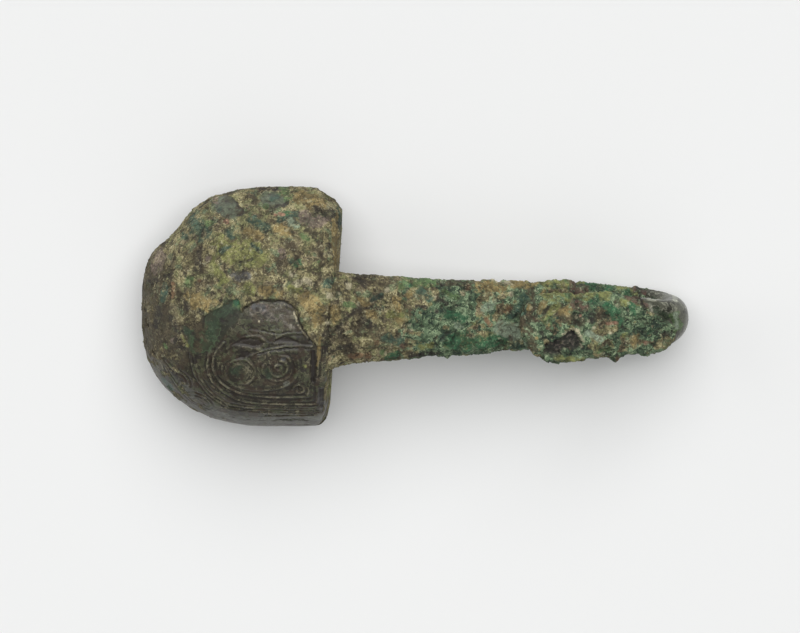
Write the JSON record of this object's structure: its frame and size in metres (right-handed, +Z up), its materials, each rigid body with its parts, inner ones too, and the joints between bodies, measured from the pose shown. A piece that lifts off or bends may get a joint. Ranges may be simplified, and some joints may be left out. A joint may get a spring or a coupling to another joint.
{
  "type": "garment hook",
  "caption": "Small cast bronze garment hook with a domed hollow-backed body, a tapering neck, a hook turned back over it, and a button on a stem behind.",
  "frame": {"origin": "on the resting surface, under the middle of the box, with the hook lying on its button and on the underside of its bend", "axes": "+X from the body's tail to the bend of the hook, +Z up out of the decorated front, +Y across"},
  "size_m": [0.0722, 0.032, 0.0173],
  "materials": {
    "bronze": "corroded bronze, ochre and malachite-green crust over dark smooth metal"
  },
  "bodies": {
    "root": {"garment_hook": "bronze"}
  },
  "joints": []
}
